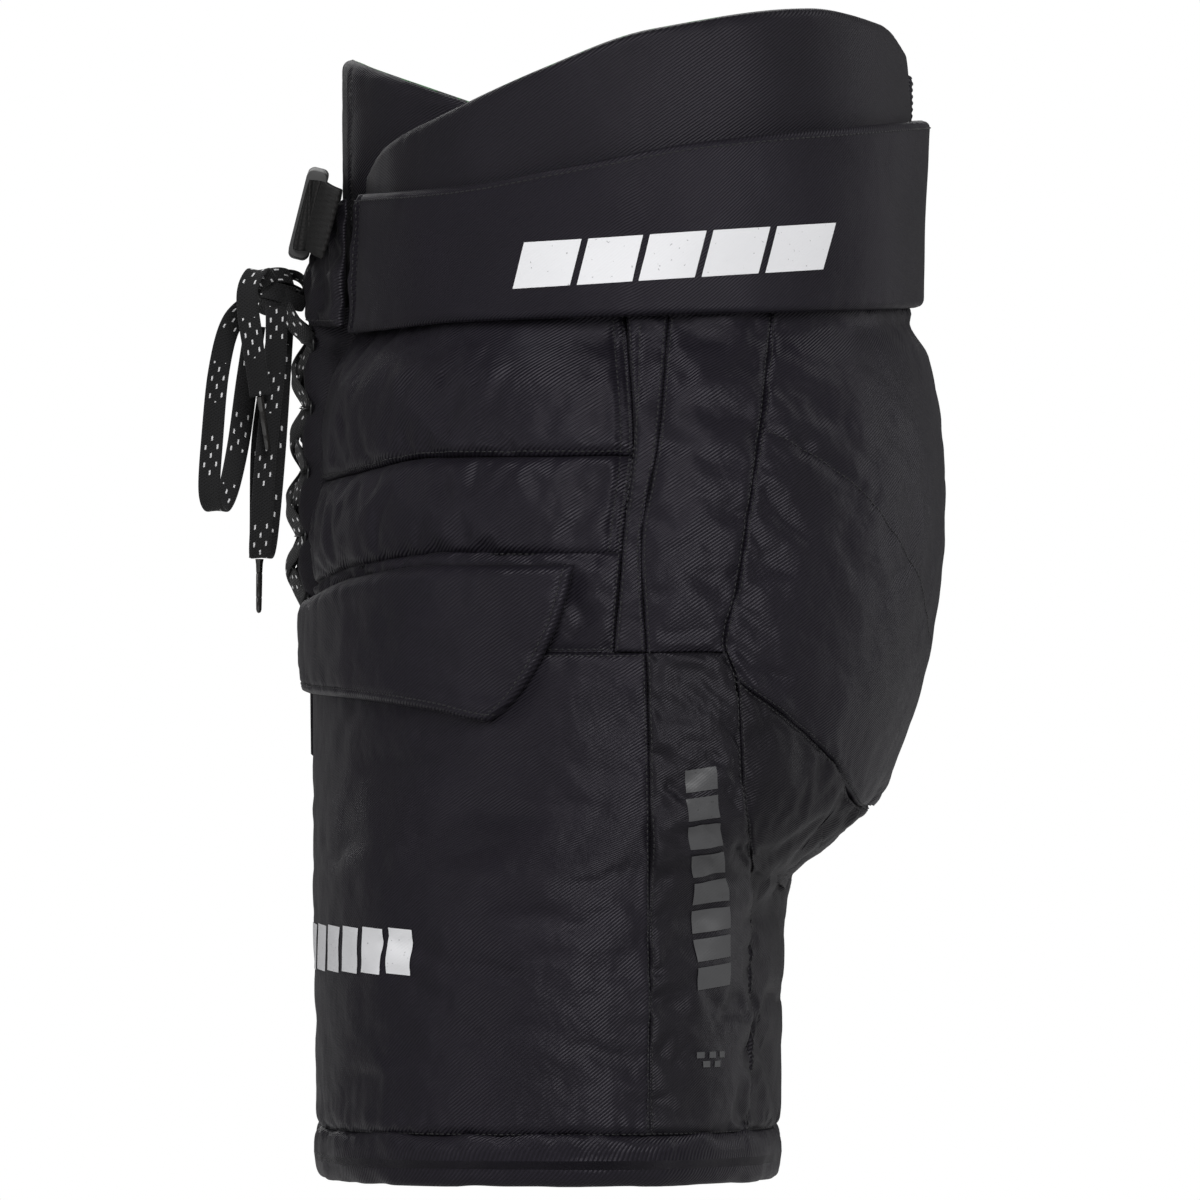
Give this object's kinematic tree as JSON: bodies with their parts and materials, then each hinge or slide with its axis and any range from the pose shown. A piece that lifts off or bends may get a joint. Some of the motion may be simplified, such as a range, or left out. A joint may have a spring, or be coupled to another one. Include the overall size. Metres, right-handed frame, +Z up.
{
  "type": "ice hockey goalie pants",
  "caption": "Padded ice hockey goalie pants in black nylon with a buckled waist belt, laced fly, thigh flaps and hinged legs.",
  "frame": {"origin": "centre of the bounding box in X and Y, on the flat foot of the leg hems", "axes": "+Z up, -Y the wearer's front with the fly and buckle, +X the wearer's left"},
  "size_m": [0.4074, 0.3003, 0.4718],
  "materials": {
    "nylon": "black nylon twill, softly satin",
    "nylon_soft": "black stretch nylon, matte",
    "foam": "closed-cell foam in a cloth pocket",
    "guard_plastic": "moulded sheet",
    "buckle_plastic": "semi-gloss moulded",
    "webbing": "woven webbing",
    "lace": "flat braid with white tracers",
    "aglet": "smooth tube"
  },
  "bodies": {
    "waist": {"kidney_pad_left": "nylon", "kidney_pad_right": "nylon", "waist_belt_left": "nylon", "waist_belt_right": "nylon", "fly_placket_left": "nylon_soft", "fly_placket_right": "nylon_soft", "fly_strip_left": "nylon_soft", "fly_strip_right": "nylon_soft", "front_band_upper_left": "nylon", "front_band_upper_right": "nylon", "front_band_lower_left": "nylon", "front_band_lower_right": "nylon", "thigh_yoke_left": "nylon", "thigh_yoke_right": "nylon", "side_placket_left": "nylon_soft", "side_placket_right": "nylon_soft", "hip_panel_left": "nylon", "hip_panel_right": "nylon", "seat_panel_left": "nylon", "seat_panel_right": "nylon", "hip_plate_left": "guard_plastic", "hip_plate_right": "guard_plastic", "hip_foam_left": "foam", "hip_foam_right": "foam", "spine_pad": "nylon_soft", "tailbone_plate": "guard_plastic", "tailbone_foam": "foam", "crotch_gusset": "nylon_soft", "buckle_socket": "buckle_plastic", "webbing_right": "webbing", "fly_lacing_a": "lace", "fly_lacing_b": "lace", "lace_knot": "lace", "lace_loop_a": "lace", "lace_loop_b": "lace", "lace_tail_a": "lace", "lace_tail_b": "lace", "aglet_a": "aglet", "aglet_b": "aglet"},
    "belly": {"belly_pad": "nylon"},
    "plug": {"buckle_plug": "buckle_plastic", "webbing_left": "webbing"},
    "prong_upper_body": {"prong_upper": "buckle_plastic"},
    "prong_lower_body": {"prong_lower": "buckle_plastic"},
    "leg_left": {"thigh_panel_left": "nylon", "side_strip_left": "nylon_soft", "rear_panel_left": "nylon", "inner_panel_left": "nylon_soft", "thigh_plate_left": "guard_plastic", "thigh_foam_left": "foam", "hem_left": "nylon"},
    "flap_left_body": {"flap_left": "nylon"},
    "leg_right": {"thigh_panel_right": "nylon", "side_strip_right": "nylon_soft", "rear_panel_right": "nylon", "inner_panel_right": "nylon_soft", "thigh_plate_right": "guard_plastic", "thigh_foam_right": "foam", "hem_right": "nylon"},
    "flap_right_body": {"flap_right": "nylon"}
  },
  "joints": [
    {"name": "hip_left", "type": "hinge", "parent": "waist", "child": "leg_left", "pos_m": [0, -0.126, 0.245], "axis": [-1, 0, 0], "range_deg": [0, 25]},
    {"name": "flap_left_lift", "type": "hinge", "parent": "leg_left", "child": "flap_left_body", "pos_m": [0.14501, -0.09651, 0.24519], "axis": [-0.8241, -0.5519, -0.1277], "range_deg": [0, 50]},
    {"name": "hip_right", "type": "hinge", "parent": "waist", "child": "leg_right", "pos_m": [0, -0.126, 0.245], "axis": [-1, 0, 0], "range_deg": [0, 25]},
    {"name": "flap_right_lift", "type": "hinge", "parent": "leg_right", "child": "flap_right_body", "pos_m": [-0.14501, -0.09651, 0.24519], "axis": [-0.8241, 0.5519, 0.1277], "range_deg": [0, 50]},
    {"name": "belly_pad_tilt", "type": "hinge", "parent": "waist", "child": "belly", "pos_m": [0, -0.105, 0.3475], "axis": [-1, 0, 0], "range_deg": [0, 15]},
    {"name": "buckle_slide", "type": "slide", "parent": "waist", "child": "plug", "axis": [1, 0, 0], "range_m": [0, 0.035]},
    {"name": "prong_upper_flex", "type": "hinge", "parent": "plug", "child": "prong_upper_body", "pos_m": [0.004, -0.12052, 0.40087], "axis": [0, -0.9703, 0.2419], "range_deg": [0, 5], "stiffness_Nm_per_rad": 0.4},
    {"name": "prong_lower_flex", "type": "hinge", "parent": "plug", "child": "prong_lower_body", "pos_m": [0.004, -0.12668, 0.37613], "axis": [0, 0.9703, -0.2419], "range_deg": [0, 5], "stiffness_Nm_per_rad": 0.4}
  ],
  "couplings": [
    {"joint": "prong_lower_flex", "follows": "prong_upper_flex", "ratio": 1}
  ]
}
